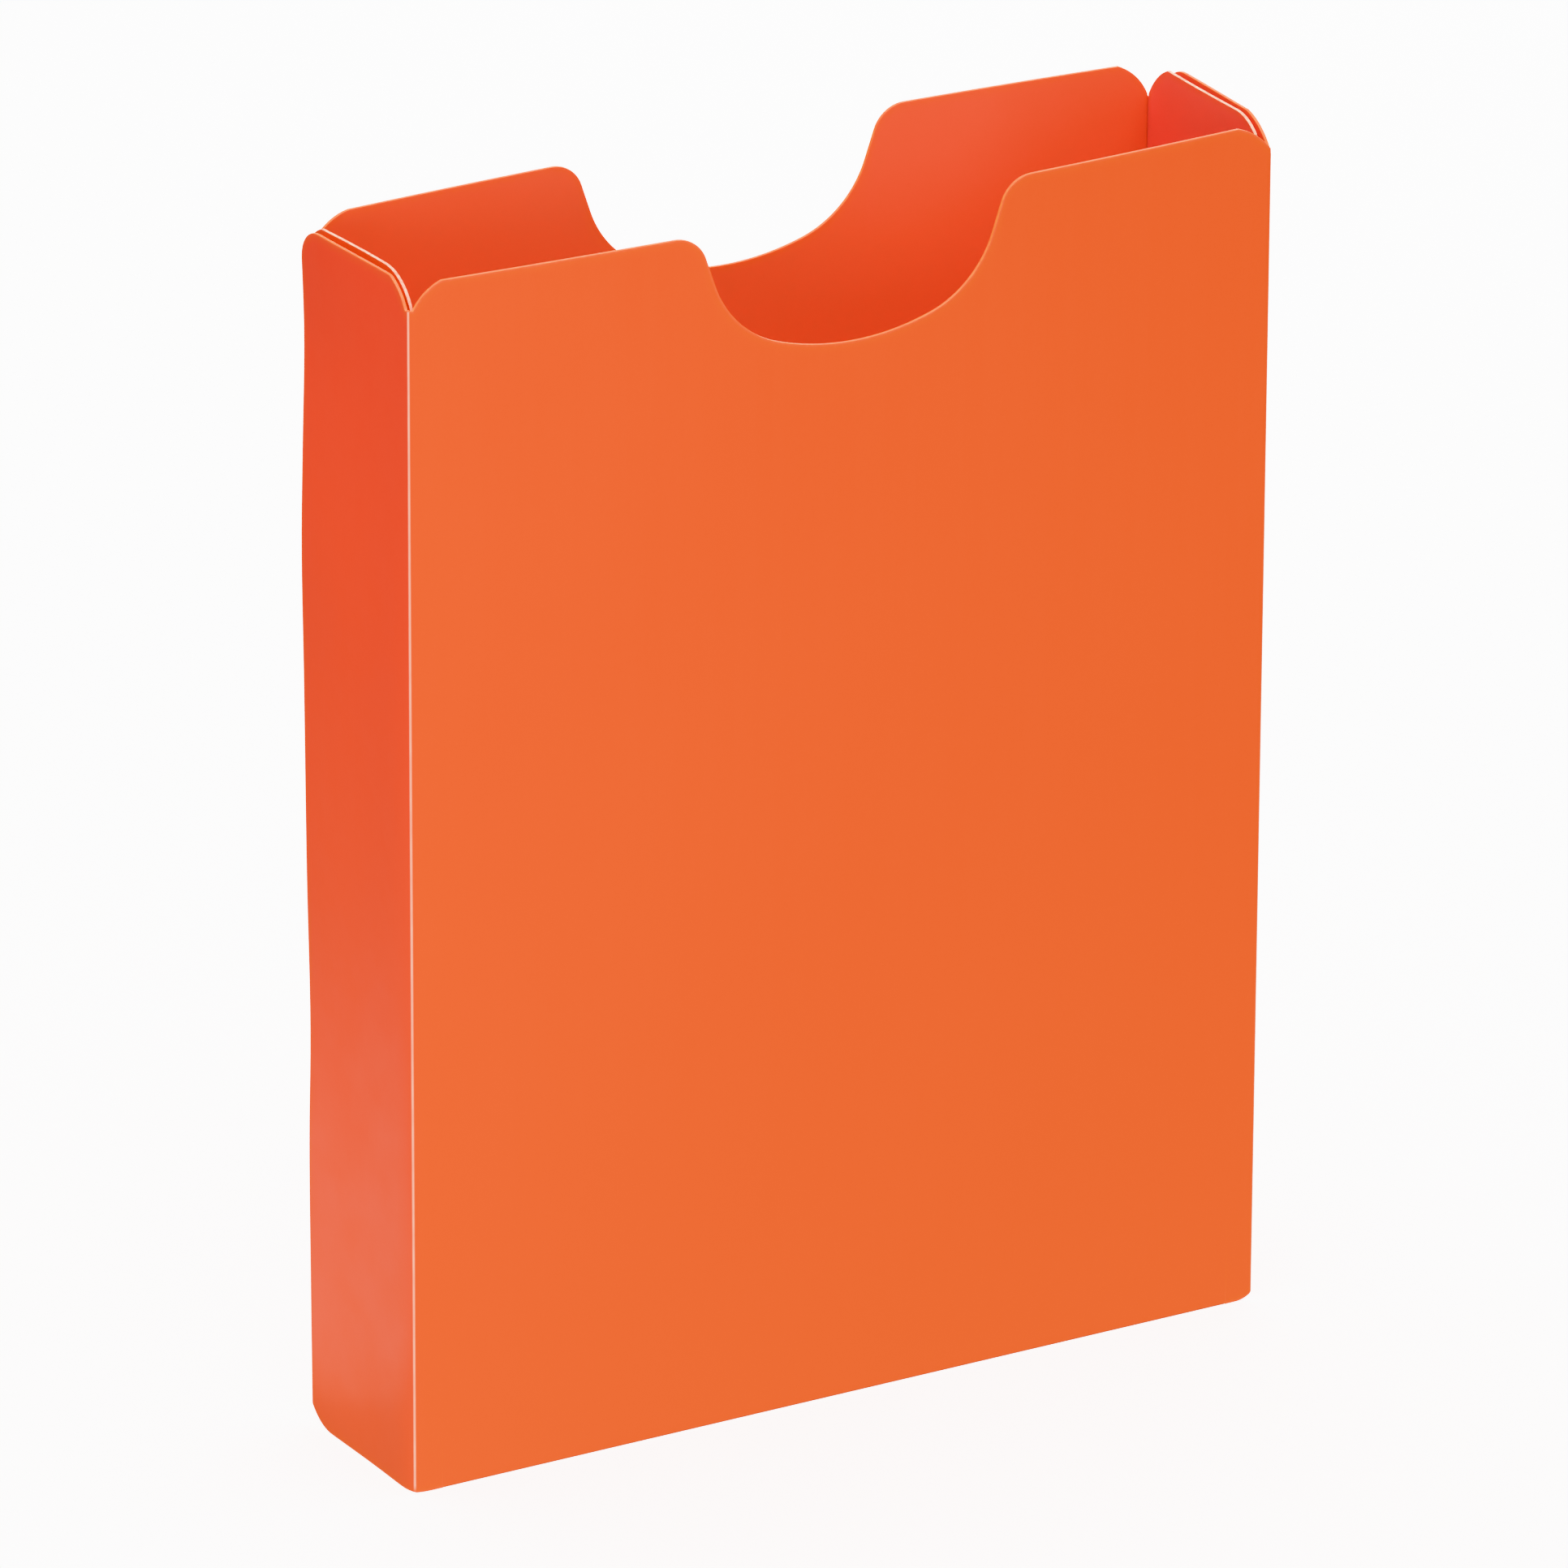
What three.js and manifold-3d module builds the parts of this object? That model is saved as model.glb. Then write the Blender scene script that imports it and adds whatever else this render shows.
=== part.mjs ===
// A magazine file holder: an open-topped box folded from one die-cut, creased sheet of polypropylene.
// Millimetres, +Z up. The origin is at the middle of the footprint, on the plane that the box stands on.
// The wide walls face -Y (front) and +Y (back). Each end is closed by two layers: an outer flap creased to
// the front wall, and inside it an inner flap creased to the back wall, bonded to each other by two strips.
import * as THREE from "three";
import { mergeVertices } from "three/addons/utils/BufferGeometryUtils.js";
import Module from "manifold-3d";

const wasm = await Module();
wasm.setup();

// Overall size, over the outer faces at the corners.
const WIDTH = 245;
const DEPTH = 55;
const HEIGHT = 320;
const SHEET = 0.8;

// The wide walls belly outward at the mouth. The corners and the base hold them straight.
const MOUTH_BOW = 4.5;
const BOW_COLUMNS = 20;
const BOW_ROWS = 10;

// Creases: an L-shaped web of pressed, thinner sheet at each fold.
const CREASE_LEG = 0.9;
const CREASE_THICKNESS = 0.45;
const CREASE_RADIUS = 0.5;
const PARTING = 0.05;
const PANEL_START = CREASE_LEG + PARTING;

// Top corners beside a fold: the edge breaks by an angle, a reach away from the fold line, into an arc that
// runs down to a notch over the crease. The notches are deeper over the back creases.
const CORNER_RADIUS = 15;
const CORNER_REACH = 9;
const CORNER_ANGLE = THREE.MathUtils.degToRad(22);
const CORNER_INSET = CORNER_REACH + CORNER_RADIUS * Math.sin(CORNER_ANGLE);
const CORNER_DEPTH = CORNER_RADIUS * Math.cos(CORNER_ANGLE);
const SIDE_CUT = Math.acos((CORNER_INSET - PANEL_START) / CORNER_RADIUS);
const FRONT_NOTCH = 6.7;
const BACK_NOTCH = 9.1;
const NOTCH_FALL = 0.1;

// Free top corners of the flaps: an arc over the last reach of the top edge.
const OUTER_FREE = { reach: 9, radius: 9 };
const INNER_FREE = { reach: 11, radius: 13.8 };

// Small roundings at the foot of the walls and flaps.
const FOOT = 0.15;
const FOOT_RUN = 4.5;
const FOOT_RISE = 1;
const CREASE_BOTTOM = 1.2;

// Finger cut-out in the top edge of both wide walls, the same to either side of the middle.
const CUTOUT_DEPTH = 34.5;
const CUTOUT_HALF_WIDTH = 44;
const CUTOUT_LEAN = THREE.MathUtils.degToRad(19);
const SHOULDER_RADIUS = 9;
const CUTOUT_SIDE_RADIUS = 28;
const CUTOUT_FLOOR_RADIUS = 70;

// End flaps, and the pitch from the outer layer's outer face to the inner layer's outer face.
const LAYER_PITCH = 2.5;
const FLAP_DEPTH = 51.6;
const FLAP_FOOT = 0.3;
const HEEL_RUN = 10;
const HEEL_RISE = 4.8;

// Base panel and the two creases that join it to the wide walls.
const BASE_END_GAP = 0.6;
const BASE_CORNER = 4.2;
const BASE_HALF_LENGTH = WIDTH / 2 - LAYER_PITCH - SHEET - BASE_END_GAP;
const BASE_CREASE_LENGTH = 2 * (BASE_HALF_LENGTH - BASE_CORNER);

// Double-sided adhesive strips between the two layers of each end.
const STRIP_WIDTH = 12;
const STRIP_BOTTOM = 20;
const STRIP_LENGTH = 270;
const STRIP_EDGE = 4;
const STRIP_THICKNESS = LAYER_PITCH - SHEET - 2 * PARTING;

const ARC_SEGMENTS = 5;
const MERGE_DISTANCE = 1e-4;
const QUARTER = Math.PI / 2;

const SHEET_LOOK = { color: 0xeb6936, roughness: 0.42, metalness: 0 };
const CREASE_LOOK = { color: 0xf7b8a0, roughness: 0.5, metalness: 0 };
const STRIP_LOOK = { color: 0xe8e2d4, roughness: 0.6, metalness: 0 };

function toSolid(geometry) {
  const bare = geometry.clone();
  bare.deleteAttribute("normal");
  bare.deleteAttribute("uv");
  const merged = mergeVertices(bare, MERGE_DISTANCE);
  return new wasm.Manifold(
    new wasm.Mesh({
      numProp: 3,
      vertProperties: merged.attributes.position.array,
      triVerts: new Uint32Array(merged.index.array),
    }),
  );
}

function toGeometry(solid) {
  const mesh = solid.getMesh();
  const geometry = new THREE.BufferGeometry();
  geometry.setAttribute("position", new THREE.BufferAttribute(mesh.vertProperties, 3));
  geometry.setIndex(new THREE.BufferAttribute(mesh.triVerts, 1));
  geometry.computeVertexNormals();
  return geometry;
}

// The points of an outline, without any that doubles the one before it where two arcs meet.
function outlinePoints(shape) {
  const points = shape.getPoints(ARC_SEGMENTS);
  return points.filter((point, i) => point.distanceTo(points.at(i - 1)) > MERGE_DISTANCE);
}

function extrude(shape, length) {
  const outline = new THREE.Shape(outlinePoints(shape));
  return new THREE.ExtrudeGeometry(outline, { depth: length, bevelEnabled: false });
}

// Turns an outline drawn as (along, up) and extruded into an upright panel: along becomes +Y, up +Z.
function standAlongY(geometry) {
  const y = new THREE.Vector3(0, 1, 0);
  const z = new THREE.Vector3(0, 0, 1);
  const x = new THREE.Vector3(1, 0, 0);
  return geometry.applyMatrix4(new THREE.Matrix4().makeBasis(y, z, x));
}

// How far a wide wall stands out of its flat plane.
function bowAt(x, z, width) {
  const across = 1 - ((2 * x) / width) ** 2;
  const up = 1 - (1 - z / HEIGHT) ** 2;
  return MOUTH_BOW * Math.max(across, 0) * Math.max(up, 0);
}

// An arc that leaves a straight bottom edge smoothly and rises to the panel's side.
// It is drawn towards the side if turn is 1, and from the side to the bottom edge if turn is -1.
function footArc(shape, side, bottom, run, rise, turn) {
  const radius = (run ** 2 + rise ** 2) / (2 * rise);
  const sweep = Math.asin(run / radius);
  const start = side - turn * run;
  if (turn > 0) {
    shape.absarc(start, bottom + radius, radius, -QUARTER, -QUARTER + sweep, false);
  } else {
    shape.absarc(start, bottom + radius, radius, -QUARTER - sweep, -QUARTER, false);
  }
}

// The centre of the cut-out's side arc, as (x, depth below the top edge): the arc touches the leaning side
// and the floor arc. Both conditions give a quadratic for the way down the side.
function cutoutSideCentre() {
  const sin = Math.sin(CUTOUT_LEAN);
  const cos = Math.cos(CUTOUT_LEAN);
  const x = CUTOUT_HALF_WIDTH - CUTOUT_SIDE_RADIUS * cos;
  const y = -CUTOUT_SIDE_RADIUS * sin - (CUTOUT_DEPTH - CUTOUT_FLOOR_RADIUS);
  const reach = CUTOUT_FLOOR_RADIUS - CUTOUT_SIDE_RADIUS;
  const half = y * cos - x * sin;
  const down = Math.sqrt(half ** 2 - (x ** 2 + y ** 2 - reach ** 2)) - half;
  return {
    x: x - down * sin,
    depth: -CUTOUT_SIDE_RADIUS * sin + down * cos,
  };
}

// The cut-out, drawn from its right shoulder to its left one.
function drawCutout(shape) {
  const shoulder = CUTOUT_HALF_WIDTH
    + (SHOULDER_RADIUS * (1 - Math.sin(CUTOUT_LEAN))) / Math.cos(CUTOUT_LEAN);
  const shoulderZ = HEIGHT - SHOULDER_RADIUS;
  const side = cutoutSideCentre();
  const sideZ = HEIGHT - side.depth;
  const floorZ = HEIGHT - CUTOUT_DEPTH + CUTOUT_FLOOR_RADIUS;
  const spread = Math.atan2(side.x, floorZ - sideZ);
  const lean = CUTOUT_LEAN;
  shape.absarc(shoulder, shoulderZ, SHOULDER_RADIUS, QUARTER, Math.PI - lean, false);
  shape.absarc(side.x, sideZ, CUTOUT_SIDE_RADIUS, -lean, -QUARTER + spread, true);
  shape.absarc(0, floorZ, CUTOUT_FLOOR_RADIUS, -QUARTER + spread, -QUARTER - spread, true);
  shape.absarc(-side.x, sideZ, CUTOUT_SIDE_RADIUS, -QUARTER - spread, -Math.PI + lean, true);
  shape.absarc(-shoulder, shoulderZ, SHOULDER_RADIUS, lean, QUARTER, false);
}

// The angle at which a top corner's arc ends: at the notch's floor, or before it at the panel's side.
function cornerCut(notch) {
  const floorCut = Math.asin((CORNER_DEPTH - notch) / CORNER_RADIUS);
  return Math.max(floorCut, SIDE_CUT);
}

// The notch's floor falls a little from the end of a top corner's arc to the panel's side at x.
function drawNotchFloor(shape, x, notch) {
  if (cornerCut(notch) > SIDE_CUT) {
    shape.lineTo(x, HEIGHT - notch - NOTCH_FALL);
  }
}

// The outline of a wide wall as (x, z). Its bottom edge steps up over the base crease.
function wallOutline(width, notch) {
  const side = width / 2 - PANEL_START;
  const step = BASE_CREASE_LENGTH / 2 + PARTING;
  const cornerX = width / 2 - CORNER_INSET;
  const cornerZ = HEIGHT - CORNER_DEPTH;
  const cut = cornerCut(notch);
  const top = QUARTER - CORNER_ANGLE;
  const shape = new THREE.Shape();
  footArc(shape, -side, FOOT, FOOT_RUN, FOOT_RISE, -1);
  shape.lineTo(-step, FOOT);
  shape.lineTo(-step, PANEL_START);
  shape.lineTo(step, PANEL_START);
  shape.lineTo(step, FOOT);
  footArc(shape, side, FOOT, FOOT_RUN, FOOT_RISE, 1);
  drawNotchFloor(shape, side, notch);
  shape.absarc(cornerX, cornerZ, CORNER_RADIUS, cut, top, false);
  drawCutout(shape);
  shape.absarc(-cornerX, cornerZ, CORNER_RADIUS, Math.PI - top, Math.PI - cut, false);
  drawNotchFloor(shape, -side, notch);
  shape.closePath();
  return shape;
}

// A sheet that bellies towards -Y, a little larger than the wall that is cut from it.
function bowedSheet(width) {
  const sheet = new THREE.BoxGeometry(width, SHEET, HEIGHT + 2, BOW_COLUMNS, 1, BOW_ROWS);
  sheet.translate(0, (SHEET - DEPTH) / 2, HEIGHT / 2);
  const points = sheet.attributes.position;
  for (let i = 0; i < points.count; i += 1) {
    const bow = bowAt(points.getX(i), points.getZ(i), width);
    points.setY(i, points.getY(i) - bow);
  }
  return sheet;
}

// A wide wall in the front wall's place: the bowed sheet inside the wall's outline.
function wallGeometry(width, notch) {
  const cutter = extrude(wallOutline(width, notch), DEPTH);
  cutter.rotateX(QUARTER);
  const cut = toSolid(bowedSheet(width)).intersect(toSolid(cutter));
  return toGeometry(cut);
}

// The outline of an end flap as (distance from its fold line, z).
function flapOutline(notch, free) {
  const cornerZ = HEIGHT - CORNER_DEPTH;
  const cornerEnd = Math.PI - cornerCut(notch);
  const freeX = FLAP_DEPTH - free.reach;
  const freeZ = HEIGHT - free.radius;
  const freeStart = Math.acos(free.reach / free.radius);
  const shape = new THREE.Shape();
  footArc(shape, PANEL_START, FLAP_FOOT, FOOT_RUN, FOOT_RISE, -1);
  footArc(shape, FLAP_DEPTH, FLAP_FOOT, HEEL_RUN, HEEL_RISE, 1);
  shape.absarc(freeX, freeZ, free.radius, freeStart, QUARTER, false);
  shape.absarc(CORNER_INSET, cornerZ, CORNER_RADIUS, QUARTER + CORNER_ANGLE, cornerEnd, false);
  drawNotchFloor(shape, PANEL_START, notch);
  shape.closePath();
  return shape;
}

function flapGeometry(notch, free) {
  return standAlongY(extrude(flapOutline(notch, free), SHEET));
}

// The section of a crease, with its two legs along +X and +Y from the fold line.
function creaseSection() {
  const shape = new THREE.Shape();
  shape.moveTo(CREASE_LEG, 0);
  shape.lineTo(CREASE_LEG, CREASE_THICKNESS);
  shape.lineTo(CREASE_THICKNESS, CREASE_THICKNESS);
  shape.lineTo(CREASE_THICKNESS, CREASE_LEG);
  shape.lineTo(0, CREASE_LEG);
  shape.absarc(CREASE_RADIUS, CREASE_RADIUS, CREASE_RADIUS, Math.PI, 3 * QUARTER, false);
  shape.closePath();
  return shape;
}

function uprightCreaseGeometry(notch) {
  const crease = extrude(creaseSection(), HEIGHT - notch - NOTCH_FALL - CREASE_BOTTOM);
  return crease.translate(0, 0, CREASE_BOTTOM);
}

// The base creases run along X, so their section stands in the YZ plane.
function baseCreaseGeometry() {
  const crease = standAlongY(extrude(creaseSection(), BASE_CREASE_LENGTH));
  return crease.translate(-BASE_CREASE_LENGTH / 2, 0, 0);
}

function baseGeometry() {
  const x = BASE_HALF_LENGTH - BASE_CORNER;
  const y = DEPTH / 2 - PANEL_START - BASE_CORNER;
  const shape = new THREE.Shape();
  shape.absarc(x, -y, BASE_CORNER, -QUARTER, 0, false);
  shape.absarc(x, y, BASE_CORNER, 0, QUARTER, false);
  shape.absarc(-x, y, BASE_CORNER, QUARTER, Math.PI, false);
  shape.absarc(-x, -y, BASE_CORNER, Math.PI, 3 * QUARTER, false);
  shape.closePath();
  return extrude(shape, SHEET);
}

const holder = new THREE.Group();

function addNode(name, geometry, look, parent) {
  const mesh = new THREE.Mesh(geometry, new THREE.MeshStandardMaterial(look));
  mesh.name = name;
  parent.add(mesh);
  return mesh;
}

// Front half of the box: the front wall, its two outer flaps and their creases.
// side is -1 at the left end and 1 at the right end.
function addFrontEnd(label, side) {
  const outerFace = (side * WIDTH) / 2;
  const flapShape = flapGeometry(FRONT_NOTCH, OUTER_FREE);
  const flap = addNode(`outer_flap_${label}`, flapShape, SHEET_LOOK, holder);
  flap.position.set(side < 0 ? outerFace : outerFace - SHEET, -DEPTH / 2, 0);
  const creaseShape = uprightCreaseGeometry(FRONT_NOTCH);
  const crease = addNode(`crease_front_${label}`, creaseShape, CREASE_LOOK, holder);
  crease.position.set(outerFace, -DEPTH / 2, 0);
  crease.rotation.z = side < 0 ? 0 : QUARTER;
}

// Back half of the box: the narrower back wall's inner flaps and their creases.
function addBackEnd(label, side) {
  const outerFace = side * (WIDTH / 2 - LAYER_PITCH);
  const flapShape = flapGeometry(BACK_NOTCH, INNER_FREE);
  const flap = addNode(`inner_flap_${label}`, flapShape, SHEET_LOOK, holder);
  flap.position.set(side < 0 ? outerFace + SHEET : outerFace, DEPTH / 2, 0);
  flap.rotation.z = Math.PI;
  const creaseShape = uprightCreaseGeometry(BACK_NOTCH);
  const crease = addNode(`crease_back_${label}`, creaseShape, CREASE_LOOK, holder);
  crease.position.set(outerFace, DEPTH / 2, 0);
  crease.rotation.z = side < 0 ? -QUARTER : Math.PI;
}

// One strip lies near each layer's free edge.
function addStrips(label, side) {
  const middle = side * (WIDTH / 2 - SHEET - PARTING - STRIP_THICKNESS / 2);
  const fromMiddle = FLAP_DEPTH - DEPTH / 2 - STRIP_EDGE - STRIP_WIDTH / 2;
  for (const [place, y] of [["front", -fromMiddle], ["back", fromMiddle]]) {
    const box = new THREE.BoxGeometry(STRIP_THICKNESS, STRIP_WIDTH, STRIP_LENGTH);
    const strip = addNode(`bond_strip_${label}_${place}`, box, STRIP_LOOK, holder);
    strip.position.set(middle, y, STRIP_BOTTOM + STRIP_LENGTH / 2);
  }
}

function addBase() {
  addNode("base_panel", baseGeometry(), SHEET_LOOK, holder);
  const front = addNode("crease_base_front", baseCreaseGeometry(), CREASE_LOOK, holder);
  front.position.set(0, -DEPTH / 2, 0);
  const back = addNode("crease_base_back", baseCreaseGeometry(), CREASE_LOOK, holder);
  back.position.set(0, DEPTH / 2, 0);
  back.rotation.z = Math.PI;
}

addNode("front_wall", wallGeometry(WIDTH, FRONT_NOTCH), SHEET_LOOK, holder);
const backShape = wallGeometry(WIDTH - 2 * LAYER_PITCH, BACK_NOTCH);
const backWall = addNode("back_wall", backShape, SHEET_LOOK, holder);
backWall.rotation.z = Math.PI;
addBase();
for (const [label, side] of [["left", -1], ["right", 1]]) {
  addFrontEnd(label, side);
  addBackEnd(label, side);
  addStrips(label, side);
}

export default holder;
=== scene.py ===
import math

import bpy
import numpy as np
from mathutils import Matrix, Vector


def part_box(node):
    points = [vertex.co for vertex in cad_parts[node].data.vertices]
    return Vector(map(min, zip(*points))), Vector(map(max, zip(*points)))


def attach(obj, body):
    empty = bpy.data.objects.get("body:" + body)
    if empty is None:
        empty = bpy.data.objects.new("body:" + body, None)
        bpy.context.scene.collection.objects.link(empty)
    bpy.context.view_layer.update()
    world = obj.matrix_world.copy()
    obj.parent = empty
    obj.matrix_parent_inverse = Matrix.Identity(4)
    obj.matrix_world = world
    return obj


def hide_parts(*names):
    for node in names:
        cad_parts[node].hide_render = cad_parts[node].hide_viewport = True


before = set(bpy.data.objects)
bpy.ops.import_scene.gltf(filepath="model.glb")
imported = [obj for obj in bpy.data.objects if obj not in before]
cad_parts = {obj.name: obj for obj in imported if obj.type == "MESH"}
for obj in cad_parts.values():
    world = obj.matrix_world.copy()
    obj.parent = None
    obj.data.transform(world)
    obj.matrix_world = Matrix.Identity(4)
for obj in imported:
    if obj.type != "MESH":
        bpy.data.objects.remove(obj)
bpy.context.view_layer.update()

MM = 0.001


def box(node):
    low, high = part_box(node)
    return np.array(low) / MM, np.array(high) / MM


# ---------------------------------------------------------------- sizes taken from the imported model
HEIGHT = box("front_wall")[1][2]
SHEET = np.ptp([corner[0] for corner in box("outer_flap_left")])
FOLD_Y = -box("crease_front_left")[0][1]
OUTER_HALF = box("outer_flap_right")[1][0]
INNER_HALF = box("inner_flap_right")[1][0]
CREASE_LEG = np.ptp([corner[0] for corner in box("crease_front_left")])
FLAP_DEPTH = box("outer_flap_left")[1][1] + FOLD_Y
FRONT_NOTCH = HEIGHT - box("crease_front_left")[1][2]
BACK_NOTCH = HEIGHT - box("crease_back_left")[1][2]
BASE_HALF = box("base_panel")[1][0]
BASE_CREASE_HALF = box("crease_base_front")[1][0]
LAYER_PITCH = OUTER_HALF - INNER_HALF
LAYER_GAP = LAYER_PITCH - SHEET

# ---------------------------------------------------------------- sizes of the die-cut outline
MOUTH_BOW = 4.5
# A top corner beside a fold, as (notch, reach, radius, angle): an arc that starts at the reach with a kink of
# the angle and runs down to the notch over the crease.
FRONT_CORNER = (FRONT_NOTCH, 9.0, 15.0, math.radians(22))
WIDE_CORNER = (FRONT_NOTCH, 10.4, 20.0, math.radians(17))
BACK_CORNER = (BACK_NOTCH, 9.0, 15.0, math.radians(22))
ROUND_CORNER = (BACK_NOTCH, 11.2, 14.6, math.radians(9))
OUTER_FREE = (9.0, 9.0)
INNER_FREE_LEFT = (13.4, 14.4)
INNER_FREE_RIGHT = (9.0, 12.5)
CUTOUT_DEPTH = 34.5
CUTOUT_HALF_WIDTH = 44.0
CUTOUT_LEAN = math.radians(19)
SHOULDER_RADIUS = 9.0
CUTOUT_SIDE_RADIUS = 28.0
CUTOUT_FLOOR_RADIUS = 70.0
FOOT = 0.15
FLAP_FOOT = 0.3
FOOT_RUN = 5.0
HEEL_RUN = 10.0
HEEL_RISE = 4.8
# The rise of the bottom corners at the left and right of each wall, in the wall's own turned frame.
FRONT_RISES = (0.4, 1.8)
BACK_RISES = (1.2, 1.2)

# ---------------------------------------------------------------- sizes of the creases and edges
FOLD_REACH = 0.7
CREASE_THICKNESS = 0.45
CREASE_CORE = 0.1
CREASE_MARGIN = 0.05
CREASE_SOFTENING = 0.3
# The small swelling of a crease's top end at each side of the fold: height, place and width.
HUMP_HEIGHT = 0.3
HUMP_PLACE = 0.45
HUMP_WIDTH = 0.25
HUMP_FADE = 0.6
# The pale line along each fold is part strain whitening and part painted highlight: its half width, fade,
# start above the foot, and share on the inner face and at the base crease.
WHITE_HALF_WIDTH = 0.36
WHITE_FADE = 0.16
WHITE_START = (0.8, 2.2)
INSIDE_WHITE = 0.22
BASE_WHITE = 0.3
RIM_RADIUS = 0.12
RIM_TURN = math.sin(math.pi / 4)
DIFFERENCE_STEP = 0.02
WORN_BAND = 3.0
BASE_CROWN = 0.12
TAPE_CLEARANCE = 0.02
TAPE_WANDER = 0.35

ARC_STEPS = 12
COLUMN_SPACING = 3.0
TAPE_SPACING = 1.5
SAME_COLUMN = 0.02
NOTCH_STEP = 0.06
ROWS = 60
END_ROWS = (0.0, 0.35, 0.9, 1.8, 3.2, 5.2)
CREASE_COLUMNS = 27


def smooth(x, low, high):
    """0 below low, 1 above high, and a smooth step between."""
    t = np.clip((x - low) / (high - low), 0.0, 1.0)
    return t * t * (3 - 2 * t)


def points(x, y, z):
    return np.stack(np.broadcast_arrays(x, y, z), axis=-1).astype(float)


def unit(vectors):
    length = np.linalg.norm(vectors, axis=-1, keepdims=True)
    return vectors / np.maximum(length, 1e-12)


def normal_of(surface, a, v):
    """The unit normal of a surface at (a, v), on the side that faces out of the box."""
    h = DIFFERENCE_STEP
    along = surface(a + h, v) - surface(a - h, v)
    up = surface(a, v + h) - surface(a, v - h)
    return unit(np.cross(along, up))


# ---------------------------------------------------------------- outlines
def corner_drop(distance, corner):
    """How far the top edge has dropped at a distance from a fold line: an arc down to the notch's floor."""
    notch, reach, radius, angle = corner
    centre = reach + radius * math.sin(angle)
    arc = radius * math.cos(angle) - np.sqrt(radius**2 - np.clip(centre - distance, 0.0, radius) ** 2)
    return np.where(distance < reach, np.clip(arc, 0.0, notch), 0.0)


def free_drop(distance, free):
    """How far a flap's top edge has dropped towards its free corner, an arc with a (reach, radius)."""
    reach, radius = free
    inside = np.clip(distance - (FLAP_DEPTH - reach), 0.0, reach)
    return radius - np.sqrt(radius**2 - inside**2)


def arc_rise(distance, run, rise):
    """An arc that leaves a straight edge smoothly and rises by rise over the last run."""
    radius = (run**2 + rise**2) / (2 * rise)
    inside = np.clip(run - distance, 0.0, run)
    return radius - np.sqrt(radius**2 - inside**2)


def arc_points(x, drop, radius, angles):
    """Points on an arc about (x, drop), by their angle from straight down."""
    return [(x + radius * math.sin(t), drop + radius * math.cos(t)) for t in angles]


def cutout_profile():
    """The right half of the finger cut-out, from its middle out, as (x, drop below the top edge)."""
    sin, cos = math.sin(CUTOUT_LEAN), math.cos(CUTOUT_LEAN)
    x = CUTOUT_HALF_WIDTH - CUTOUT_SIDE_RADIUS * cos
    y = -CUTOUT_SIDE_RADIUS * sin - (CUTOUT_DEPTH - CUTOUT_FLOOR_RADIUS)
    reach = CUTOUT_FLOOR_RADIUS - CUTOUT_SIDE_RADIUS
    half = y * cos - x * sin
    down = math.sqrt(half**2 - (x**2 + y**2 - reach**2)) - half
    side_x = x - down * sin
    side_drop = -CUTOUT_SIDE_RADIUS * sin + down * cos
    floor_drop = CUTOUT_DEPTH - CUTOUT_FLOOR_RADIUS
    spread = math.atan2(side_x, side_drop - floor_drop)
    shoulder_x = CUTOUT_HALF_WIDTH + SHOULDER_RADIUS * (1 - sin) / cos
    floor = np.linspace(0, spread, ARC_STEPS)
    side = np.linspace(spread, math.pi / 2 - CUTOUT_LEAN, 2 * ARC_STEPS)
    side = side if spread < side[-1] else side[::-1]
    shoulder = np.linspace(math.pi / 2 - CUTOUT_LEAN, 0, ARC_STEPS)
    outline = arc_points(0, floor_drop, CUTOUT_FLOOR_RADIUS, floor)
    outline += arc_points(side_x, side_drop, CUTOUT_SIDE_RADIUS, side[1:])
    shoulder_arc = [(shoulder_x - SHOULDER_RADIUS * math.sin(t), SHOULDER_RADIUS * (1 - math.cos(t)))
                    for t in shoulder]
    low, high = np.array(outline[-1]), np.array(shoulder_arc[0])
    outline += [tuple(low + (high - low) * share) for share in (0.25, 0.5, 0.75)]
    return np.array(outline + shoulder_arc)


CUTOUT = cutout_profile()


def wall_top(x, half, corners):
    from_fold = half - np.abs(x)
    cut = np.interp(np.abs(x), CUTOUT[:, 0], CUTOUT[:, 1], right=0.0)
    left, right = (corner_drop(from_fold, corner) for corner in corners)
    return HEIGHT - np.maximum(cut, np.where(x < 0, left, right))


def flap_top(u, corner, free):
    return HEIGHT - np.maximum(corner_drop(u, corner), free_drop(u, free))


def flap_bottom(u, foot_rise):
    heel = arc_rise(FLAP_DEPTH - u, HEEL_RUN, HEEL_RISE)
    return FLAP_FOOT + arc_rise(u, FOOT_RUN, foot_rise) + heel


def corner_distances(corner):
    """Distances from a fold line that sample the corner arc evenly, starting at the crease's leg."""
    notch, reach, radius, angle = corner
    notch_angle = math.acos(math.cos(angle) - notch / radius)
    arc = reach + radius * math.sin(angle) - radius * np.sin(np.linspace(notch_angle, angle, ARC_STEPS))
    return np.concatenate([[CREASE_LEG], arc[arc > CREASE_LEG + CREASE_MARGIN]])


def fill(values, spacing=COLUMN_SPACING):
    """Sorted values without near doubles, with the wide steps between them divided."""
    values = np.sort(np.asarray(values, float))
    kept = [values[0]]
    for value in values[1:]:
        if value - kept[-1] > SAME_COLUMN:
            kept.append(value)
    filled = [kept[0]]
    for value in kept[1:]:
        count = max(1, math.ceil((value - filled[-1]) / spacing))
        filled.extend(np.linspace(filled[-1], value, count + 1)[1:])
    return np.array(filled)


def row_shares(length):
    """Rows along a panel of that length, from 0 to 1, close together near both ends."""
    if length < 2 * END_ROWS[-1]:
        return np.linspace(0, 1, CREASE_COLUMNS)
    ends = np.array(END_ROWS) / length
    middle = np.linspace(ends[-1], 1 - ends[-1], ROWS - 2 * len(ends) + 2)
    return np.concatenate([ends[:-1], middle, 1 - ends[:-1][::-1]])


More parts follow.
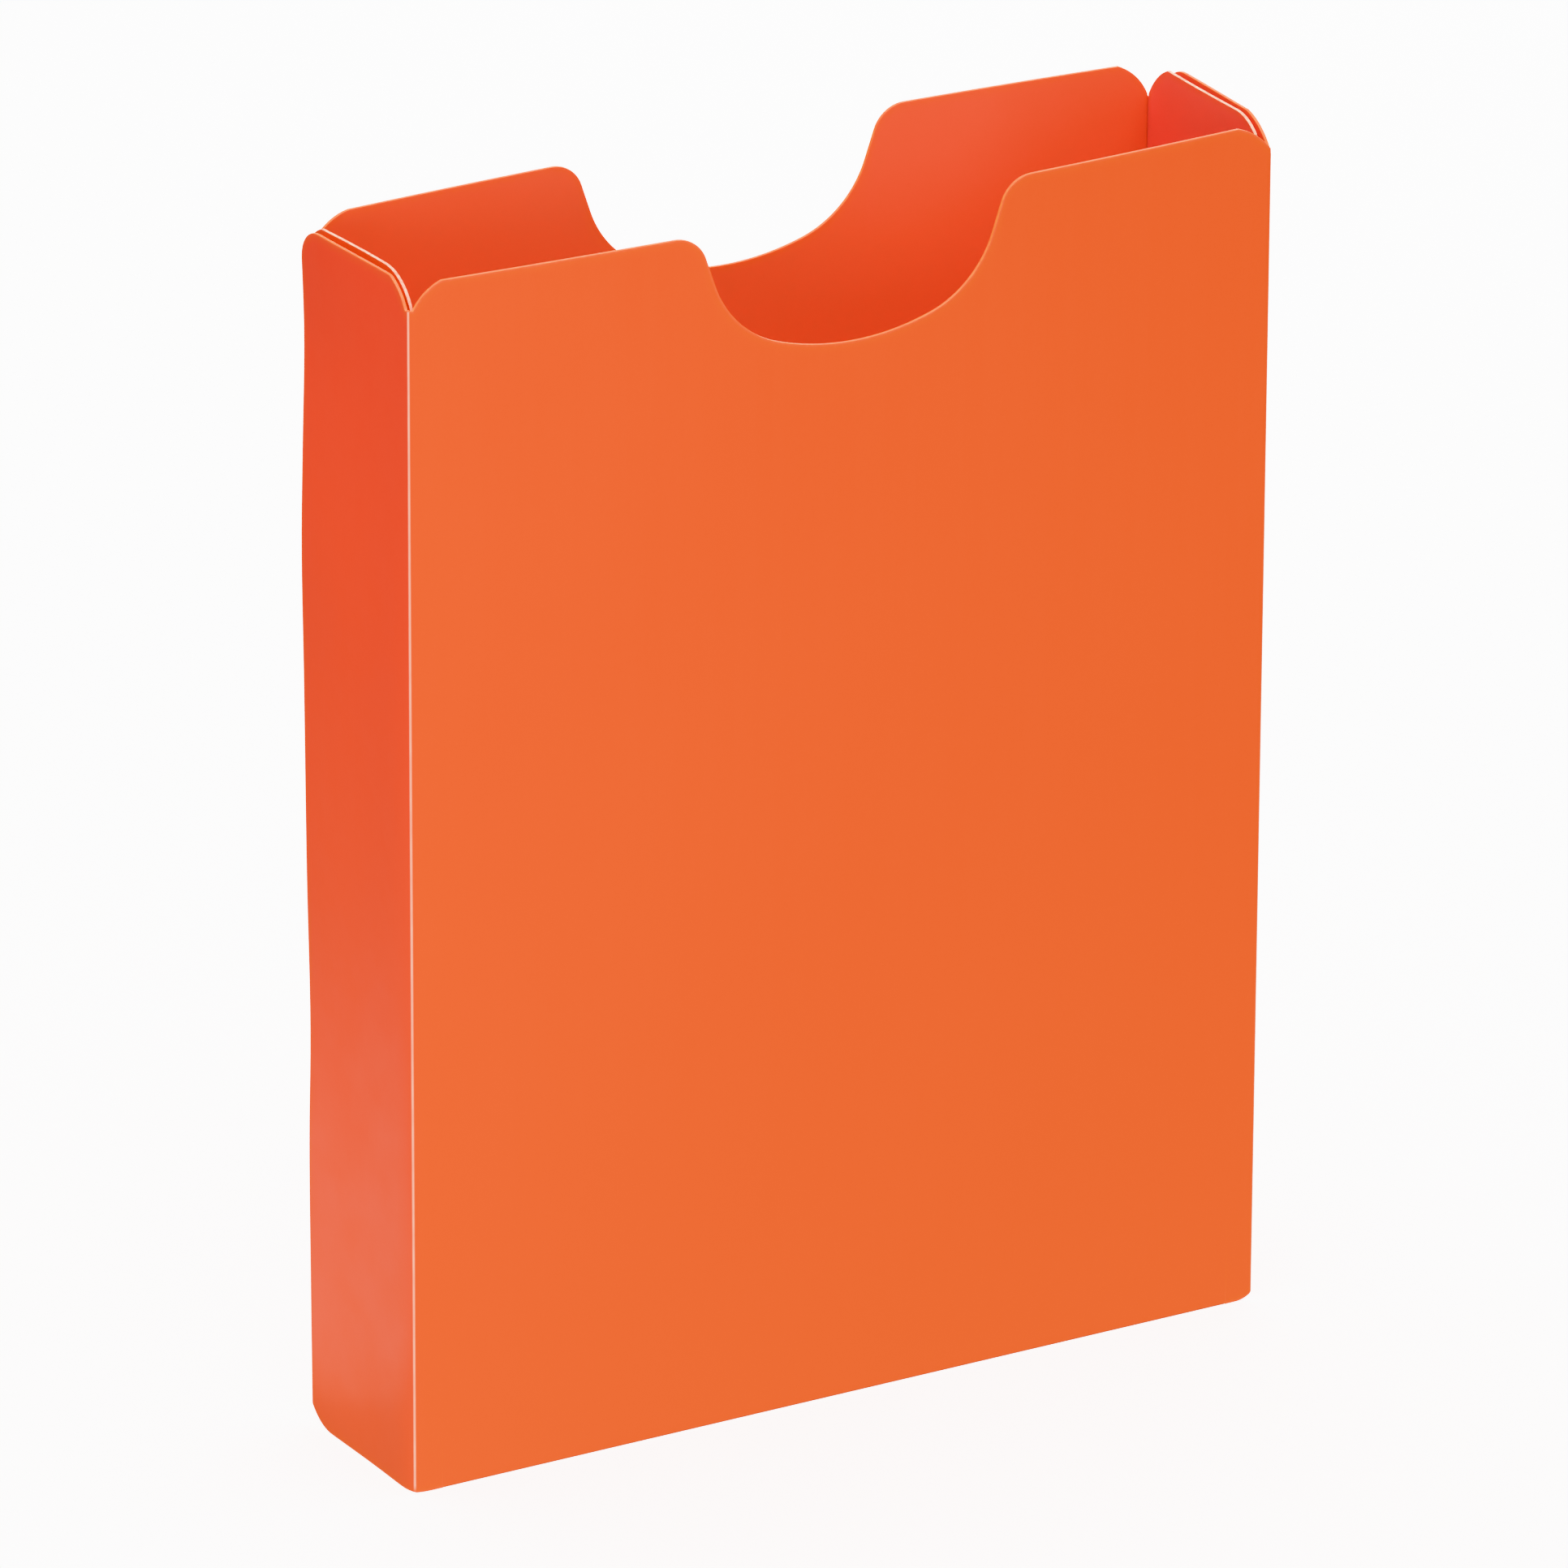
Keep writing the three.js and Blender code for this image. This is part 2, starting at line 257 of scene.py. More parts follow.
# ---------------------------------------------------------------- formed shapes
# The front of the box is described with its wall at -Y; the back is the same with x and y reversed.
def ripple(x, z, seed):
    """The faint waviness of a sheet that was packed flat, in millimetres."""
    a = np.sin(x / 31 + seed) * np.sin(z / 47 + 1.7 * seed)
    b = np.sin(x / 17 - z / 29 + 2.3 * seed)
    return 0.09 * a + 0.035 * b


def wall_surface(half, seed):
    def surface(x, z):
        across = np.clip(1 - (x / half) ** 2, 0, None)
        up = 1 - (1 - np.clip(z / HEIGHT, 0, 1)) ** 2
        held = across * smooth(z, 0, 60)
        bow = MOUTH_BOW * across * up + ripple(x, z, seed) * held
        return points(x, -FOLD_Y - bow, z)
    return surface


def roll(u, reach):
    """A bend that starts at the fold, is fullest at reach and fades beyond it."""
    u = np.maximum(u, 0)
    return u / reach * np.exp(1 - u / reach)


def edge_wave(z, heights, offsets):
    """A smooth line through the offsets at the heights."""
    z = np.asarray(z, float)
    k = np.clip(np.searchsorted(heights, z) - 1, 0, len(heights) - 2)
    low, high = np.take(heights, k), np.take(heights, k + 1)
    t = np.clip((z - low) / (high - low), 0, 1)
    slopes = np.gradient(np.asarray(offsets, float), np.asarray(heights, float))
    span = high - low
    h00 = (1 + 2 * t) * (1 - t) ** 2
    h10 = t * (1 - t) ** 2
    h01 = t * t * (3 - 2 * t)
    h11 = t * t * (t - 1)
    return (h00 * np.take(offsets, k) + h10 * span * np.take(slopes, k)
            + h01 * np.take(offsets, k + 1) + h11 * span * np.take(slopes, k + 1))


def end_shape(low_roll, top_roll, reach, heights, offsets):
    """How far an end flap stands out of its flat plane at a distance u from its fold."""
    def out(u, z):
        share = np.clip(u / FLAP_DEPTH, 0, 1.1)
        at_fold = low_roll + (top_roll - low_roll) * smooth(z, 0.55 * HEIGHT, HEIGHT)
        free = edge_wave(z, heights, offsets)
        return at_fold * roll(u, reach) + free * share**2 * (3 - 2 * share)
    return out


OUTER_LEFT = end_shape(0.6, 0.0, 7, (0, 40, 80, 103, 150, 200, 240, 262, 292, 320),
                       (1.2, 1.4, 1.4, 0.9, 1.5, 1.8, 2.1, 1.6, 0.9, 1.7))
OUTER_RIGHT = end_shape(0.5, -0.3, 7, (0, 60, 130, 190, 250, 320), (0.8, 1.2, 0.7, 1.3, 0.8, 1.1))
INNER_LEFT = end_shape(0.5, 1.4, 7, (0, 80, 160, 240, 320), (0.3, 0.1, 0.4, 0.2, -0.4))
INNER_RIGHT = end_shape(0.4, 0.8, 7, (0, 90, 180, 250, 320), (0.2, 0.4, 0.1, 0.3, 0.1))


def left_flap_surface(half, out):
    return lambda a, z: points(-half - out(-a, z), -FOLD_Y - a, z)


def right_flap_surface(half, out):
    return lambda a, z: points(half + out(a, z), -FOLD_Y + a, z)


def fold_surface(first, second):
    """Joins two surfaces of (s, v) with a round fold about s = 0."""
    r, h = FOLD_REACH, DIFFERENCE_STEP

    def surface(s, v):
        s, v = np.broadcast_arrays(np.asarray(s, float), np.asarray(v, float))
        start, end = first(-r + 0 * s, v), second(r + 0 * s, v)
        into = (start - first(-r - h + 0 * s, v)) / h
        away = (second(r + h + 0 * s, v) - end) / h
        corner = (start + into * r + end - away * r) / 2
        t = np.clip((s + r) / (2 * r), 0, 1)[..., None]
        curve = (1 - t) ** 2 * start + 2 * t * (1 - t) * corner + t**2 * end
        before, after = (s < -r)[..., None], (s > r)[..., None]
        return np.where(before, first(s, v), np.where(after, second(s, v), curve))
    return surface


def fold_thickness(s, v):
    thin = 1 - smooth(np.abs(s + 0 * v), CREASE_CORE, CREASE_LEG - CREASE_MARGIN)
    return SHEET + (CREASE_THICKNESS - SHEET) * thin


def sheet_thickness(a, v):
    return SHEET + 0 * (a + v)


# ---------------------------------------------------------------- meshes
class Outline:
    """A panel's boundary in its own (a, v): columns at a, from bottom to top."""

    def __init__(self, a, bottom, top, cut_bottom=True, cut_top=True, cut_left=False, cut_right=False):
        count = len(a) - 1
        self.a, self.bottom, self.top = (np.asarray(x, float) for x in (a, bottom, top))
        self.cut_bottom = np.broadcast_to(cut_bottom, count)
        self.cut_top = np.broadcast_to(cut_top, count)
        self.cut_left, self.cut_right = cut_left, cut_right

    def loop(self, shares):
        """The boundary counter-clockwise: its points, grid places, and whether the edge after each is cut."""
        columns, rows = len(self.a), len(shares)
        where = [(i, 0) for i in range(columns)]
        where += [(columns - 1, j) for j in range(1, rows - 1)]
        where += [(i, rows - 1) for i in range(columns - 1, -1, -1)]
        where += [(0, j) for j in range(rows - 2, 0, -1)]
        cut = list(self.cut_bottom) + [self.cut_right] * (rows - 1)
        cut += list(self.cut_top[::-1]) + [self.cut_left] * (rows - 1)
        at = np.array([(self.a[i], self.bottom[i] + (self.top[i] - self.bottom[i]) * shares[j])
                       for i, j in where])
        return at, where, np.array(cut, bool)


def inset_points(at, cut):
    """Each boundary point moved in by the rim's radius from the cut edges beside it."""
    step = np.roll(at, -1, axis=0) - at
    step = step / np.linalg.norm(step, axis=1, keepdims=True)
    inward = np.stack([-step[:, 1], step[:, 0]], axis=1)
    before, after = np.roll(inward, 1, axis=0), inward
    r_after = np.where(cut, RIM_RADIUS, 0.0)
    r_before = np.roll(r_after, 1)
    det = before[:, 0] * after[:, 1] - before[:, 1] * after[:, 0]
    flat = np.abs(det) < 0.05
    safe = np.where(flat, 1.0, det)
    solved = np.stack([r_before * after[:, 1] - r_after * before[:, 1],
                       r_after * before[:, 0] - r_before * after[:, 0]], axis=1) / safe[:, None]
    straight = unit(before + after) * np.maximum(r_before, r_after)[:, None]
    return at + np.where(flat[:, None], straight, solved)


def edge_nearness(outline, grid, shares):
    """1 at a cut edge, falling to 0 at the end of the worn band inside it."""
    length = (outline.top - outline.bottom)[:, None]
    away = np.full(grid.shape[:2], 2 * WORN_BAND)
    rims = ((outline.top, outline.cut_top, 1 - shares), (outline.bottom, outline.cut_bottom, shares))
    for rim, cut, distance in rims:
        tilt = 1 / np.hypot(1, np.gradient(rim, outline.a))
        has_rim = np.append(cut, cut[-1])[:, None]
        away = np.where(has_rim, np.minimum(away, distance[None] * length * tilt[:, None]), away)
    if outline.cut_left:
        away = np.minimum(away, grid[..., 0] - outline.a[0])
    if outline.cut_right:
        away = np.minimum(away, outline.a[-1] - grid[..., 0])
    return np.clip(1 - away / WORN_BAND, 0, 1)


def panel_grid(outline, shares, inset, where):
    """The (a, v) of every vertex of a face: the inset boundary, and rows blended between its ends."""
    grid = np.zeros((len(outline.a), len(shares), 2))
    for (i, j), spot in zip(where, inset):
        grid[i, j] = spot
    blend = shares[None, 1:-1, None]
    grid[1:-1, 1:-1] = grid[1:-1, :1] * (1 - blend) + grid[1:-1, -1:] * blend
    return grid


def rim_rings(surface, thickness, at, inset):
    """Four rings of points and normals that round a cut edge over, from the outer face to the inner."""
    a, v = at[:, 0], at[:, 1]
    half_way = inset + (at - inset) * RIM_TURN
    half_a, half_v = half_way[:, 0], half_way[:, 1]
    deep = thickness(a, v)
    lean = RIM_RADIUS * (1 - RIM_TURN)
    face_normal = normal_of(surface, a, v)
    edge_points = surface(a, v)
    out = unit(edge_points - surface(inset[:, 0], inset[:, 1]))
    half_points, half_normal = surface(half_a, half_v), normal_of(surface, half_a, half_v)
    return [
        (half_points - half_normal * lean, unit(face_normal + out)),
        (edge_points - face_normal * RIM_RADIUS, out),
        (edge_points - face_normal * (deep - RIM_RADIUS)[:, None], out),
        (half_points - half_normal * (deep - lean)[:, None], unit(out - face_normal)),
    ]


def edge_faces(profile, cut):
    """The faces round the boundary: rounded bands on a cut edge, one flat face where panels part."""
    faces, kinds = [], []
    for k, p in enumerate(profile):
        q = profile[(k + 1) % len(profile)]
        if cut[k]:
            faces += [[p[ring], p[ring + 1], q[ring + 1], q[ring]] for ring in range(len(p) - 1)]
            kinds += ["rim"] * (len(p) - 1)
        else:
            faces.append([p[0], p[-1], q[-1], q[0]])
            kinds.append("parting")
        if cut[k - 1] != cut[k]:
            faces.append(list(p) if cut[k - 1] else list(p[::-1]))
            kinds.append("parting")
    return faces, kinds


def sheet_arrays(surface, thickness, outline, length):
    """Vertices, normals, faces, face kinds, and (a, v, edge, outer) of each vertex of a closed sheet."""
    shares = row_shares(length)
    at, where, cut = outline.loop(shares)
    inset = inset_points(at, cut)
    grid = panel_grid(outline, shares, inset, where)

    def inner(a, v):
        return surface(a, v) - normal_of(surface, a, v) * thickness(a, v)[..., None]

    a, v = grid[..., 0].ravel(), grid[..., 1].ravel()
    edge = edge_nearness(outline, grid, shares).ravel()
    count = len(a)
    index = np.arange(count).reshape(grid.shape[:2])
    corners = [index[:-1, :-1], index[1:, :-1], index[1:, 1:], index[:-1, 1:]]
    quads = np.stack(corners, axis=-1).reshape(-1, 4)
    positions = [surface(a, v), inner(a, v)]
    normals = [normal_of(surface, a, v), -normal_of(inner, a, v)]
    marks = [np.stack([a, v, edge, np.full(count, side)], 1) for side in (1.0, 0.0)]

    kept = np.nonzero(cut | np.roll(cut, 1))[0]
    number = np.full(len(at), -1)
    number[kept] = np.arange(len(kept))
    rings = rim_rings(surface, thickness, at, inset)
    for (ring_points, ring_normals), side in zip(rings, (1.0, 1.0, 0.0, 0.0)):
        positions.append(ring_points[kept])
        normals.append(ring_normals[kept])
        worn, outer = np.ones(len(kept)), np.full(len(kept), side)
        marks.append(np.stack([at[kept, 0], at[kept, 1], worn, outer], 1))

    profile = []
    for k, (i, j) in enumerate(where):
        start = 2 * count + number[k]
        between = [start + ring * len(kept) for ring in range(len(rings))]
        profile.append([index[i, j]] + between + [count + index[i, j]])
    rim, rim_kinds = edge_faces(profile, cut)
    faces = quads.tolist() + (quads[:, ::-1] + count).tolist() + rim
    kinds = ["sheet"] * (2 * len(quads)) + rim_kinds
    return np.concatenate(positions), np.concatenate(normals), faces, kinds, np.concatenate(marks)


def make_object(name, arrays, turned, materials, whiteness, end_shade):
    """A Blender object in metres from a sheet's arrays. turned is -1 for the back of the box."""
    positions, normals, faces, kinds, marks = arrays
    turn = np.array([turned, turned, 1.0])
    mesh = bpy.data.meshes.new(name)
    mesh.from_pydata((positions * turn * MM).tolist(), [], faces)
    mesh.polygons.foreach_set("use_smooth", [True] * len(faces))
    for material in materials:
        mesh.materials.append(material)
    mesh.polygons.foreach_set("material_index", [1 if kind == "rim" else 0 for kind in kinds])
    corner_normals = []
    turned_normals = normals * turn
    for polygon, kind in zip(mesh.polygons, kinds):
        if kind == "parting":
            corner_normals.extend([tuple(polygon.normal)] * len(polygon.vertices))
        else:
            corner_normals.extend(tuple(turned_normals[k]) for k in polygon.vertices)
    # Painted floor light: a share that grows towards the foot, where the sheet is mixed towards a lighter
    # tone.
    painted_floor_light = np.clip(1 - positions[:, 2] / HEIGHT, 0, 1)
    # The inside share below marks the inner face, which takes a paler painted-light tone.
    shares = {"edge": marks[:, 2], "inside": 1 - marks[:, 3], "whitening_and_highlight": whiteness(marks),
              "end": end_shade(marks), "painted_floor_light": painted_floor_light}
    for label, values in shares.items():
        attribute = mesh.attributes.new(label, "FLOAT", "POINT")
        attribute.data.foreach_set("value", values.astype(np.float32))
    mesh.update()
    mesh.normals_split_custom_set(corner_normals)
    piece = bpy.data.objects.new(name, mesh)
    bpy.context.scene.collection.objects.link(piece)
    return piece


def all_over(share):
    """The same share at every vertex."""
    return lambda marks: np.full(len(marks), share)


def inner_face(marks):
    """1 on a sheet's inner face and 0 on its outer one."""
    return 1 - marks[:, 3]


def place(node, arrays, turned, materials, whiteness=all_over(0.0), end_shade=all_over(0.0)):
    """Adds a formed piece that stands for a CAD node. Whiteness and endness give a share for each vertex."""
    piece = make_object(f"formed_{node}", arrays, turned, materials, whiteness, end_shade)
    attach(piece, "root")
    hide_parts(node)
    return piece


# ---------------------------------------------------------------- materials
def linear(red, green, blue):
    return (red, green, blue, 1.0)


class Shader:
    """A Principled material, with short calls for the nodes that feed it."""

    def __init__(self, name):
        self.material = bpy.data.materials.new(name)
        self.material.use_nodes = True
        self.tree = self.material.node_tree
        self.tree.nodes.clear()
        self.principled = self.tree.nodes.new("ShaderNodeBsdfPrincipled")
        output = self.tree.nodes.new("ShaderNodeOutputMaterial")
        self.link(self.principled.outputs["BSDF"], output.inputs["Surface"])
        self.where = self.tree.nodes.new("ShaderNodeTexCoord").outputs["Object"]

    def link(self, source, target):
        self.tree.links.new(source, target)

    def node(self, kind, **settings):
        made = self.tree.nodes.new(kind)
        for key, value in settings.items():
            if key in made.inputs:
                made.inputs[key].default_value = value
            else:
                setattr(made, key, value)
        return made

    def noise(self, size, detail=2.0, stretch=(1, 1, 1)):
        """Noise whose features are about size metres across."""
        mapping = self.node("ShaderNodeMapping")
        mapping.inputs["Scale"].default_value = stretch
        self.link(self.where, mapping.inputs["Vector"])
        noise = self.node("ShaderNodeTexNoise", Scale=1 / size, Detail=detail)
        self.link(mapping.outputs["Vector"], noise.inputs["Vector"])
        return noise.outputs["Fac"]

    def attribute(self, name):
        return self.node("ShaderNodeAttribute", attribute_name=name).outputs["Fac"]

    def ramp(self, value, low, high, to_low=0.0, to_high=1.0):
        spread = self.node("ShaderNodeMapRange")
        for key, number in (("From Min", low), ("From Max", high), ("To Min", to_low), ("To Max", to_high)):
            spread.inputs[key].default_value = number
        self.link(value, spread.inputs["Value"])
        return spread.outputs["Result"]

    def math(self, operation, first, second):
        made = self.node("ShaderNodeMath", operation=operation)
        for k, value in enumerate((first, second)):
            if isinstance(value, (int, float)):
                made.inputs[k].default_value = value
            else:
                self.link(value, made.inputs[k])
        return made.outputs["Value"]

    def mix(self, share, first, second):
        made = self.node("ShaderNodeMix", data_type="RGBA")
        self.link(share, made.inputs["Factor"])
        for socket, colour in ((made.inputs[6], first), (made.inputs[7], second)):
            if isinstance(colour, tuple):
                socket.default_value = colour
            else:
                self.link(colour, socket)
        return made.outputs[2]

    def bump(self, height, distance, strength=1.0, under=None):
        made = self.node("ShaderNodeBump", Distance=distance, Strength=strength)
        self.link(height, made.inputs["Height"])
        if under is not None:
            self.link(under, made.inputs["Normal"])
        return made.outputs["Normal"]


def polypropylene(name, wall, end, worn, lip_and_floor_light, white):
    """Satin extruded sheet: soft mottling, extrusion lines, a fine grain, paler worn edges, and creases paler
    from strain whitening and a painted highlight. Painted light and shade come on top: lighter towards the
    foot, paler on the inner face, a shaded copy on the end flaps, and a thin line at each cut edge that is
    part burred edge and part painted floor light.
    """
    shader = Shader(name)
    mottle = shader.ramp(shader.noise(0.09, 3.0), 0.35, 0.65)
    lines = shader.ramp(shader.noise(0.0035, 3.0, (1, 1, 0.02)), 0.4, 0.6)
    speck = shader.ramp(shader.noise(0.0007, 1.0), 0.35, 0.65)
    tone = shader.math("ADD", shader.math("MULTIPLY", mottle, 0.55), shader.math("MULTIPLY", lines, 0.2))
    tone = shader.math("ADD", tone, shader.math("MULTIPLY", speck, 0.25))
    # Painted shade: the end flaps take a redder, darker shaded copy of the wall colours.
    share = shader.attribute("end")
    bright, deep, low, inside = (shader.mix(share, *pair) for pair in zip(wall, end))
    colour = shader.mix(tone, deep, bright)
    # Painted floor light: lighter towards the foot.
    colour = shader.mix(shader.math("MULTIPLY", shader.attribute("painted_floor_light"), 0.9), colour, low)
    # Painted light: the inner face is mixed towards a paler tone in place of the light that reaches inside
    # the box.
    colour = shader.mix(shader.math("MULTIPLY", shader.attribute("inside"), 0.9), colour, inside)
    chipped = shader.ramp(shader.noise(0.0016, 3.0), 0.3, 0.7, 0.35, 1.0)
    edge = shader.math("MULTIPLY", shader.math("POWER", shader.attribute("edge"), 2.0), chipped)
    colour = shader.mix(shader.math("MULTIPLY", edge, 0.5), colour, worn)
    # A thin paler line just inside each cut edge: part burred edge, part painted floor light.
    burred_and_floor_lit = shader.ramp(shader.attribute("edge"), 0.8, 0.93, 0.0, 0.6)
    colour = shader.mix(shader.math("MULTIPLY", burred_and_floor_lit, chipped), colour, lip_and_floor_light)
    # Painted highlight and strain whitening: the fold line is mixed towards the pale colour, broken up by
    # streaky noise.
    stress_and_highlight = shader.ramp(shader.noise(0.0022, 3.0, (1, 1, 0.35)), 0.2, 0.75, 0.72, 1.0)
    colour = shader.mix(shader.math("MULTIPLY", shader.attribute("whitening_and_highlight"), stress_and_highlight), colour, white)
    shader.link(colour, shader.principled.inputs["Base Color"])
    rough = shader.ramp(shader.noise(0.012, 4.0), 0.3, 0.7, 0.36, 0.46)
    rough = shader.math("ADD", rough, shader.math("MULTIPLY", edge, 0.08))
    shader.link(rough, shader.principled.inputs["Roughness"])
    shader.principled.inputs["IOR"].default_value = 1.49
    grain = shader.bump(shader.noise(0.00045, 2.0), 0.000009)
    peel = shader.bump(shader.noise(0.004, 2.0), 0.000012, under=grain)
    drawn = shader.bump(shader.noise(0.003, 2.0, (1, 1, 0.03)), 0.000004, under=peel)
    shader.link(drawn, shader.principled.inputs["Normal"])
    return shader.material


def cut_edge(name, pale, deep):
    """The sheared edge of the sheet: paler than its faces, with a fine mottled tone and grain."""
    shader = Shader(name)
    tone = shader.ramp(shader.noise(0.0012, 3.0), 0.35, 0.65)
    shader.link(shader.mix(tone, deep, pale), shader.principled.inputs["Base Color"])
    rough = shader.ramp(shader.noise(0.0009, 2.0), 0.3, 0.7, 0.34, 0.5)
    shader.link(rough, shader.principled.inputs["Roughness"])
    shader.link(shader.bump(shader.noise(0.0003, 2.0), 0.000015), shader.principled.inputs["Normal"])
    return shader.material


def adhesive(name):
    """Milky double-sided transfer tape with small bubbles."""
    shader = Shader(name)
    cells = shader.node("ShaderNodeTexVoronoi", Scale=900.0)
    shader.link(shader.where, cells.inputs["Vector"])
    bubble = shader.ramp(cells.outputs["Distance"], 0.1, 0.35)
    colour = shader.mix(bubble, linear(0.86, 0.82, 0.72), linear(0.72, 0.66, 0.52))
    shader.link(colour, shader.principled.inputs["Base Color"])
    rough = shader.ramp(shader.noise(0.003, 3.0), 0.3, 0.7, 0.45, 0.7)
    shader.link(rough, shader.principled.inputs["Roughness"])
    shader.link(shader.bump(bubble, 0.00008), shader.principled.inputs["Normal"])
    return shader.material


# The sheet's colours as (bright, deep, towards the foot, inner face), on the walls and on the end flaps.
# Bright and deep are the sheet's own mottled tone; the tone towards the foot is painted floor light, the
# inner-face tone is painted light, and the end-flap set is a painted shaded copy of the wall set.
WALL_TONES = (linear(0.9, 0.149, 0.037), linear(0.885, 0.139, 0.033), linear(0.91, 0.166, 0.042),
              linear(0.9, 0.182, 0.09))
END_SHADED_TONES = (linear(0.99, 0.1, 0.039), linear(0.98, 0.094, 0.036), linear(0.99, 0.17, 0.056),
             linear(0.99, 0.19, 0.14))
# Its last three colours are the worn edges, the thin edge line that is part burred edge and part painted
# floor light, and the fold line that is part strain whitening and part painted highlight.
SHEET_LOOK = polypropylene("polypropylene", WALL_TONES, END_SHADED_TONES, linear(0.93, 0.2, 0.03),
                           linear(1.0, 0.2, 0.09), linear(1.0, 0.58, 0.44))
WALL_EDGE = cut_edge("cut_edge_wall", linear(0.98, 0.28, 0.05), linear(0.95, 0.2, 0.035))
OUTER_EDGE = cut_edge("cut_edge_outer", linear(0.98, 0.27, 0.04), linear(0.95, 0.2, 0.03))
# Painted highlight: the inner flaps' cut edges are a pale cream, a lit copy of the orange cut edge.
INNER_EDGE_HIGHLIGHT = cut_edge("cut_edge_inner_highlight", linear(1.0, 0.74, 0.58), linear(0.96, 0.48, 0.32))
TAPE = adhesive("transfer_tape")


# ---------------------------------------------------------------- the sheet's pieces
def wall_bottom(x, half, rises):
    left, right = arc_rise(half + x, FOOT_RUN, rises[0]), arc_rise(half - x, FOOT_RUN, rises[1])
    foot = FOOT + np.where(x < 0, left, right)
    return np.where(np.abs(x) <= BASE_CREASE_HALF + 1e-6, CREASE_LEG, foot)


def wall_columns(half, corner):
    """The columns of a wall's half, from its middle to the fold."""
    steps = [BASE_CREASE_HALF, BASE_CREASE_HALF + NOTCH_STEP]
    flat = fill(np.concatenate([[CUTOUT[-1, 0]], half - corner_distances(corner), steps]))
    return np.concatenate([CUTOUT[:, 0], flat[flat > CUTOUT[-1, 0] + SAME_COLUMN]])


def build_wall(node, half, corners, rises, seed, turned):
    left, right = (wall_columns(half, corner) for corner in corners)
    x = np.concatenate([-left[:0:-1], right])
    bottom, top = wall_bottom(x, half, rises), wall_top(x, half, corners)
    middle = (x[1:] + x[:-1]) / 2
    outline = Outline(x, bottom, top, cut_bottom=np.abs(middle) > BASE_CREASE_HALF)
    arrays = sheet_arrays(wall_surface(half, seed), sheet_thickness, outline, HEIGHT)
    place(node, arrays, turned, [SHEET_LOOK, WALL_EDGE])


def flap_columns(corner, free):
    reach, radius = free
    angles = np.linspace(0, math.asin(reach / radius), ARC_STEPS)
    arc = FLAP_DEPTH - reach + radius * np.sin(angles)
    foot = np.linspace(CREASE_LEG, FOOT_RUN, 5)
    return fill(np.concatenate([corner_distances(corner), foot, arc]))


def build_flap(node, half, out, corner, free, rise, left, turned, edge, end_shade=all_over(1.0)):
    u = flap_columns(corner, free)
    bottom, top = flap_bottom(u, rise), flap_top(u, corner, free)
    if left:
        outline = Outline(-u[::-1], bottom[::-1], top[::-1], cut_left=True)
        surface = left_flap_surface(half, out)
    else:
        outline = Outline(u, bottom, top, cut_right=True)
        surface = right_flap_surface(half, out)
    arrays = sheet_arrays(surface, sheet_thickness, outline, HEIGHT)
    place(node, arrays, turned, [SHEET_LOOK, edge], end_shade=end_shade)


def fold_whitening_and_highlight(marks, across, inside_share):
    """The pale line along a fold, part strain whitening and part painted highlight, and its fainter trace on
    the inner face.
    """
    low, high = WHITE_HALF_WIDTH - WHITE_FADE, WHITE_HALF_WIDTH + WHITE_FADE
    line = 1 - smooth(np.abs(marks[:, across]), low, high)
    return line * (inside_share + (1 - inside_share) * marks[:, 3])


def build_upright_crease(node, half, out, seed, corners, rise, left, turned):
    wall = wall_surface(half, seed)
    if left:
        flap = left_flap_surface(half, out)
        surface = fold_surface(flap, lambda s, z: wall(s - half, z))
    else:
        flap = right_flap_surface(half, out)
        surface = fold_surface(lambda s, z: wall(s + half, z), flap)
    s = np.linspace(-CREASE_LEG, CREASE_LEG, CREASE_COLUMNS)
    toward_wall = smooth(s if left else -s, -CREASE_LEG, CREASE_LEG)
    away = np.abs(s)
    softened = np.where(away < CREASE_SOFTENING, CREASE_SOFTENING / 2 + s**2 / (2 * CREASE_SOFTENING), away)
    foot = FOOT * toward_wall + FLAP_FOOT * (1 - toward_wall)
    bottom = foot + arc_rise(softened, FOOT_RUN, rise)
    hump = HUMP_HEIGHT * np.exp(-(((away - HUMP_PLACE) / HUMP_WIDTH) ** 2))
    hump = hump * (1 - smooth(away, HUMP_FADE, CREASE_LEG))
    toward_flap = smooth(-s if left else s, -0.35, 0.05)
    wall_drop, flap_drop = (corner_drop(away, corner) for corner in corners)
    drop = wall_drop + (flap_drop - wall_drop) * toward_flap
    top = HEIGHT - drop + hump * (corners[0] == corners[1])
    outline = Outline(s, bottom, top)
    arrays = sheet_arrays(surface, fold_thickness, outline, HEIGHT)
    place(node, arrays, turned, [SHEET_LOOK, WALL_EDGE],
          lambda marks: fold_whitening_and_highlight(marks, 0, INSIDE_WHITE) * smooth(marks[:, 1], *WHITE_START),
          lambda marks: 1 - smooth(marks[:, 0] if left else -marks[:, 0], -0.3, 0.3))


def base_surface(a, v):
    crown = BASE_CROWN * (1 - (a / BASE_HALF) ** 2) * (1 - (v / FOLD_Y) ** 2)
    return points(a, -v, np.maximum(crown, 0))


def build_base_crease(node, half, seed, turned):
    wall = wall_surface(half, seed)
    fold = fold_surface(lambda s, x: base_surface(x, FOLD_Y + s), lambda s, x: wall(x, s))
    x = fill([-BASE_CREASE_HALF, BASE_CREASE_HALF])
    leg = np.full(len(x), CREASE_LEG)
    outline = Outline(x, -leg, leg, cut_bottom=False, cut_top=False, cut_left=True, cut_right=True)
    arrays = sheet_arrays(lambda a, v: fold(v, a), lambda a, v: fold_thickness(v, a), outline, 2 * CREASE_LEG)
    place(node, arrays, turned, [SHEET_LOOK, WALL_EDGE],
          lambda marks: BASE_WHITE * fold_whitening_and_highlight(marks, 1, 0.0))


